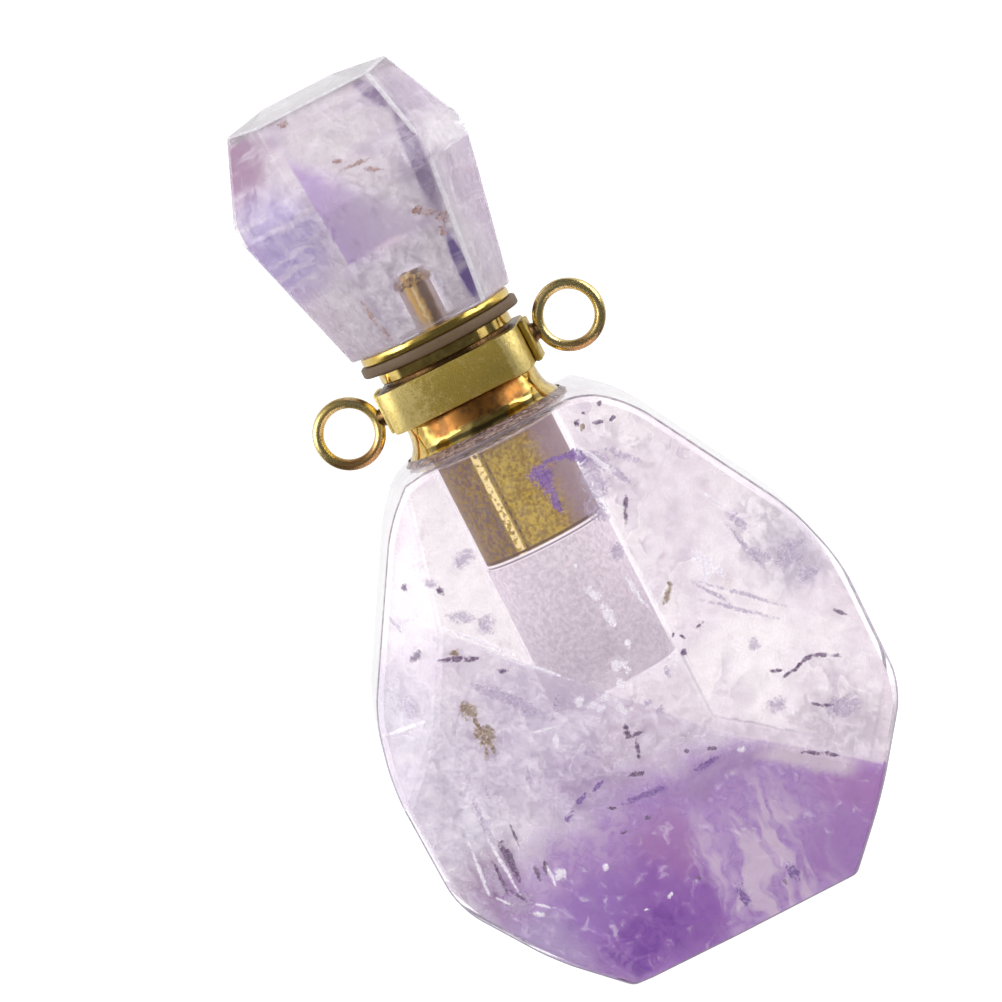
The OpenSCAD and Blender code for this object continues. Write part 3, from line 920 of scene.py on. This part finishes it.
# WHITE: painted glints and painted highlight lines along the ridges, set in the stone like the flaws
WHITE = [(379, 760, 11, 9, 30), (395, 777, 9, 6, 0), (412, 785, 8, 8, 0), (285, 906, 10, 14, 0),
         (328, 920, 7, 6, 0), (247, 932, 12, 5, -20), (501, 876, 8, 6, 0), (436, 750, 7, 16, 10),
         (447, 732, 6, 10, 0), (444, 697, 9, 28, 5), (440, 672, 10, 16, 20), (428, 745, 9, 12, 30),
         (424, 762, 8, 9, 0), (404, 768, 11, 7, 30), (388, 770, 10, 7, 0), (551, 694, 12, 28, 20),
         (561, 706, 6, 26, 10), (546, 708, 5, 14, -30), (437, 639, 4, 4, 0), (336, 770, 24, 2, -10),
         (341, 785, 14, 5, 60), (213, 706, 48, 3, -10), (213, 868, 54, 3, 82), (237, 872, 60, 3, -88),
         (222, 905, 16, 2, -50), (253, 926, 22, 3, -30), (276, 902, 22, 3, 85), (246, 823, 5, 5, 0),
         (372, 974, 7, 3, 30), (345, 976, 7, 2, -10), (415, 789, 6, 6, 0), (345, 700, 90, 3, -46),
         (318, 662, 70, 3, -48), (505, 560, 5, 60, 25), (478, 690, 4, 40, 8), (592, 650, 60, 2, -60)]
STOPPER_MARKS = [(424, 185, 26, 4, -4), (437, 198, 16, 6, -30), (408, 174, 10, 4, -20),
                 (467, 262, 22, 8, -30), (476, 272, 14, 12, 0), (458, 254, 12, 7, 10),
                 (470, 284, 12, 10, 30), (489, 349, 22, 5, 20), (367, 325, 7, 34, 4),
                 (372, 348, 9, 16, 0), (352, 112, 16, 9, 0), (377, 116, 9, 8, 0)]


def stone_flaws(stone):
    dull, shiny = 0.5, 0.2
    lot = (("dark_flaws", DARK, "dark_flaw", (0.1, 1.0, 0.85), (150, 130, 154), (92, 66, 102), dull),
           ("rusty_flaws", BROWN, "rusty_flaw", (0.1, 0.9, 0.7), (178, 160, 136), (116, 94, 72), dull),
           ("mauve_veils", MAUVE, "mauve_veil", (0.1, 1.1, 0.55), (200, 188, 206), (168, 154, 178), dull),
           ("violet_flaws", VIOLET, "violet_flaw", (0.2, 0.9, 0.7), (154, 124, 178), (112, 80, 146), dull),
           # The white marks are painted glints and painted highlight lines
           ("painted_glints", WHITE, "painted_glint", (0.2, 0.9, 0.8), (252, 250, 253), (236, 230, 240), shiny))
    for seed, (name, marks, finish, torn, pale, dark, rough) in enumerate(lot):
        material = flaw(finish, *torn, tone(*pale), tone(*dark), rough)
        flaws(name, marks, material, stone, "bottle", "bottle_stone", seed=seed)


def solder_joint(side, height):
    """A fillet of solder from the pad to the ring, drawn out along X."""
    profile = [(0.50, 0.0), (0.44, 0.04), (0.40, 0.10), (0.37, 0.18), (0.35, 0.26), (0.30, 0.34)]
    joint = turned("solder", profile, 32)
    joint.rotation_euler = (0, side * math.pi / 2, 0)
    joint.location = (side * 3.46 * MM, 0, height * MM)
    return settle(joint, "solder")


def collar(*golds):
    """The band round the neck, with a pad, a joint of solder and a hanging ring at each side."""
    satin, polished, tarnish_and_painted_shade = range(3)
    width, tall, bore = 6.3, 1.8, 2.81
    ring_across, ring_radius, wire_radius = 5.15, 1.285, 0.235
    band = box("collar_band", (0, 0, COLLAR_MIDDLE), (width, width, tall))
    ends = lambda e: [band.data.vertices[i].co.z for i in e.vertices]
    pick(band, "EDGE", lambda e: max(ends(e)) - min(ends(e)) > 1 * MM)
    bpy.ops.mesh.bevel(offset=0.8 * MM, segments=8, affect="EDGES")
    done()
    bpy.ops.mesh.primitive_cylinder_add(vertices=96, radius=bore * MM, depth=4 * MM,
                                        location=(0, 0, 25 * MM))
    cutter = bpy.context.object
    modify(band, "BOOLEAN", operation="DIFFERENCE", object=cutter, solver="EXACT")
    bpy.data.objects.remove(cutter)
    modify(band, "BEVEL", width=0.07 * MM, segments=3, limit_method="ANGLE", angle_limit=math.radians(50))
    # Each pad: a thin dark seam of solder, then the plate on it
    pads = ((3.17, 0.08, 1.78, 1.7, tarnish_and_painted_shade), (3.335, 0.27, 1.9, tall, satin))
    pieces = [(band, satin)]
    for side, height in ((-1, 24.91), (1, 25.27)):
        for x, thick, deep, high, finish in pads:
            pad = box("pad", (side * x, 0, COLLAR_MIDDLE), (thick, deep, high))
            modify(pad, "BEVEL", width=min(0.08, thick * 0.4) * MM, segments=3)
            pieces.append((pad, finish))
        deselect()
        bpy.ops.mesh.primitive_torus_add(major_radius=ring_radius * MM, minor_radius=wire_radius * MM,
                                         major_segments=72, minor_segments=20, rotation=(math.pi / 2, 0, 0),
                                         location=(side * ring_across * MM, 0, height * MM))
        pieces.append((settle(bpy.context.object, "ring"), polished))
        pieces.append((solder_joint(side, height), tarnish_and_painted_shade))
    for piece, finish in pieces:
        dress(piece, golds)
        finish_faces(piece, lambda c, face: finish)
    # The band's top faces take the dark gold: painted shade in the gap under the lip
    finish_faces(band, lambda c, face: tarnish_and_painted_shade if face.normal.z > 0.95 else satin)
    piece = join("neck_collar", *[piece for piece, finish in pieces])
    piece.data.transform(Matrix.Rotation(COLLAR_TURN, 4, "Z"))
    smooth(piece, 40)
    return finish_piece(piece, None, "collar", "gold", "collar")


def foot_gold():
    """The neck's foot: polished, with a painted dark reflection round it and painted brown shade in the
    hollow under the collar.
    """
    paint = Paint("foot_gold")
    p = paint.place()
    x, _, z = paint.axes(p)
    patch = paint.noise(p, 1.5, 4, 0.65)
    wear_and_painted_light = paint.ease(patch, 0.4, 0.6)
    # A painted dark reflection: a dark band round the foot near 23 mm
    shade = paint.ease((z - 23.0 + (patch - 0.5) * 0.2).size(), 0.13, 0.05) * paint.ease(x.size(), 2.9, 2.2)
    # Painted shade: brown in the hollow under the collar, at the front
    stain_and_painted_shade = paint.ease(z + (patch - 0.5) * 0.3, 23.2, 23.4) * paint.ease(x.size() + (patch - 0.5), 2.3, 1.9)
    stain_and_painted_shade = stain_and_painted_shade * paint.ease(z, 24.3, 24.2)
    paint.colour = paint.blend((0.84, 0.62, 0.20), (0.56, 0.38, 0.10), wear_and_painted_light)
    paint.tint((0.10, 0.07, 0.03), shade * 0.85)
    paint.tint(paint.blend((0.46, 0.2, 0.05), (0.2, 0.09, 0.03), wear_and_painted_light), stain_and_painted_shade)
    return paint.show(paint.principled(Base_Color=paint.colour, Metallic=1.0,
                                       Roughness=paint.ease(stain_and_painted_shade, 0, 1, 0.09, 0.35)))


def neck(polished, stained, tarnish_and_painted_shade):
    """The tube in the stone, the flared foot, the throat behind the collar and the lip."""
    rings = [(2.1, TUBE_END), (2.58, TUBE_END), (2.6, 17.34), (2.6, 22.62), (3.4, 22.62), (3.45, 22.66),
             (3.45, 22.72), (3.42, 22.78), (3.33, 22.88), (3.2, 23.03), (3.08, 23.22), (3.0, 23.44),
             (2.96, 23.7), (2.94, 24.0), (2.9, 24.1), (2.75, 24.12), (2.75, 24.5), (2.75, 26.1),
             (2.93, 26.12), (2.97, 26.17), (2.97, 26.55), (2.93, 26.61), (2.88, 26.62), (2.2, 26.62),
             (2.1, 26.57), (2.1, TUBE_END)]
    piece = turned("neck_turning", rings, closed=True)
    smooth(piece, 30)
    finish_piece(piece, (polished, stained, tarnish_and_painted_shade), "bottle", "gold", "neck_fitting")
    throat = lambda c: 24.4 < c.z < 26.14 and c.xy.length > 2.5
    # The throat behind the collar takes the dark gold: painted shade
    finish_faces(piece, lambda c, face: 1 if c.z < 22.6 else 2 if throat(c) else 0)
    return piece


def neck_glue():
    """The glue that was pressed out under the neck's foot."""
    paint = Paint("dark_glue")
    p = paint.place()
    grain = paint.noise(p, 3.0, 4, 0.7, 0.6)
    painted_sparkle = paint.ease(paint.noise(p, 5.0, 3, 0.6), 0.62, 0.68)
    paint.colour = paint.blend(tone(186, 160, 150), tone(112, 86, 90), paint.ease(grain, 0.4, 0.6))
    # Painted glints on the glue
    paint.tint(tone(246, 240, 244), painted_sparkle)
    glue = paint.principled(Base_Color=paint.colour, Roughness=0.2, Normal=paint.bump(grain, 0.5, 0.15))
    rings = [(3.46, 22.61), (3.66, 22.61), (3.66, 22.64), (3.58, 22.70), (3.47, 22.84), (3.46, 22.61)]
    piece = turned("neck_glue", rings, closed=True)
    pick(piece, "VERT", lambda v: v.co.xy.length > 3.5 * MM)
    bpy.ops.transform.resize(value=(1, 1.3, 1), center_override=(0, 0, 0))
    done()
    smooth(piece, 50)
    return finish_piece(piece, (paint.show(glue),), "bottle", "bottle_stone")


def peg_glue():
    """The brown lump of glue on the peg's end, inside the stopper."""
    paint = Paint("brown_glue")
    grain = paint.noise(paint.place(), 5.0, 4, 0.7)
    colour = paint.blend((0.62, 0.42, 0.14), (0.17, 0.09, 0.03), paint.ease(grain, 0.42, 0.58))
    # It glows a little: painted light
    crumb = paint.principled(Base_Color=colour, Roughness=0.5, Emission_Color=colour, Emission_Strength=0.2,
                             Normal=paint.bump(grain, 0.6, 0.1))
    deselect()
    bpy.ops.mesh.primitive_ico_sphere_add(subdivisions=5, radius=1, location=(0, 0, 29.5 * MM))
    lump = bpy.context.object
    lump.scale = (0.84 * MM, 0.84 * MM, 0.46 * MM)
    settle(lump, "peg_glue")
    ragged = bpy.data.textures.new("peg_glue", "CLOUDS")
    ragged.noise_scale = 0.4 * MM
    modify(lump, "DISPLACE", texture=ragged, texture_coords="GLOBAL", strength=0.3 * MM, mid_level=0.75)
    return finish_piece(smooth(lump, 60), (paint.show(crumb),), "cap", "stopper_stone")


def peg_gold():
    """The peg seen through the stopper: pale at its left and dark brown at its right, with a painted
    highlight line down it.
    """
    paint = Paint("peg_gold")
    p = paint.place()
    x = paint.axes(p)[0]
    across = x + (paint.noise(p, 4.0, 3, 0.7) - 0.5) * 0.3
    paint.colour = paint.blend((0.66, 0.44, 0.12), (0.15, 0.09, 0.04), paint.ease(across, -0.05, 0.15))
    # A painted highlight: a bright line down the peg
    paint.tint((0.88, 0.72, 0.34), paint.ease((across + 0.12).size(), 0.08, 0.03))
    paint.tint((0.44, 0.36, 0.3), paint.ease(across, 0.38, 0.55) | paint.ease(across, -0.35, -0.5))
    # It glows a little: painted light
    return paint.show(paint.principled(Base_Color=paint.colour, Metallic=0.4, Roughness=0.4,
                                       Emission_Color=paint.colour, Emission_Strength=0.2))


def thread():
    """A screw thread on the plug: a triangle carried round, turn after turn."""
    pitch, ridge_radius, ridge_middle, start = 0.5, 0.15, 1.89, 24.5
    deselect()
    bpy.ops.mesh.primitive_circle_add(vertices=3, radius=ridge_radius * MM, fill_type="NOTHING",
                                      rotation=(math.pi / 2, 0, 0),
                                      location=(ridge_middle * MM, 0, start * MM))
    ridge = settle(bpy.context.object, "thread")
    modify(ridge, "SCREW", screw_offset=pitch * MM, iterations=4, steps=40, render_steps=40,
           use_merge_vertices=False)
    bpy.ops.object.mode_set(mode="EDIT")
    close_ends()
    face_outwards()
    return ridge


def cap(polished):
    """The plug with its thread, the flange and the peg, which is glued in the stopper."""
    rings = [(1.72, 24.19), (1.84, 24.28), (1.84, 27.08), (3.27, 27.08), (3.33, 27.12), (3.35, 27.2),
             (3.35, 27.36), (3.32, 27.43), (3.26, 27.46), (0.7, 27.46), (0.7, 29.8), (0.64, 29.86)]
    body = join("cap_turning", turned("cap_turning", rings), thread())
    smooth(body, 30)
    finish_piece(body, (polished, peg_gold()), "cap", "gold", "cap_fitting")
    finish_faces(body, lambda c, face: int(c.z > 27.47))
    return body


def washer():
    rings = [(2.15, 26.64), (3.46, 26.64), (3.51, 26.68), (3.525, 26.74), (3.525, 26.96), (3.51, 27.02),
             (3.46, 27.06), (2.15, 27.06), (2.15, 26.64)]
    piece = turned("gasket_ring", rings, closed=True)
    smooth(piece, 50)
    return finish_piece(piece, (rubber(),), "gasket", "gasket", "gasket")


camera()
studio()
white_floor()
satin_gold = gold("satin_gold", (0.97, 0.78, 0.30), (0.58, 0.42, 0.09), 0.38, 3.0, 0.35, 0.22)
ring_gold = gold("ring_gold", (1.0, 0.84, 0.42), (0.84, 0.62, 0.22), 0.2, 1.0, 0.1, painted_outline_shade_and_low_brown=0.8)
polished_gold = gold("polished_gold", (0.90, 0.67, 0.20), (0.68, 0.47, 0.11), 0.09)
# Dark brown gold: the solder, and painted shade on the collar's top and on the throat behind it
tarnish_and_painted_shade_gold = gold("tarnish_and_painted_shade_gold", (0.30, 0.17, 0.07), (0.09, 0.05, 0.02), 0.25, 2.0, 0.2)
stone_flaws(bottle())
stopper()
collar(satin_gold, ring_gold, tarnish_and_painted_shade_gold)
neck(foot_gold(), stained_gold(), tarnish_and_painted_shade_gold)
cap(polished_gold)
washer()
neck_glue()
peg_glue()
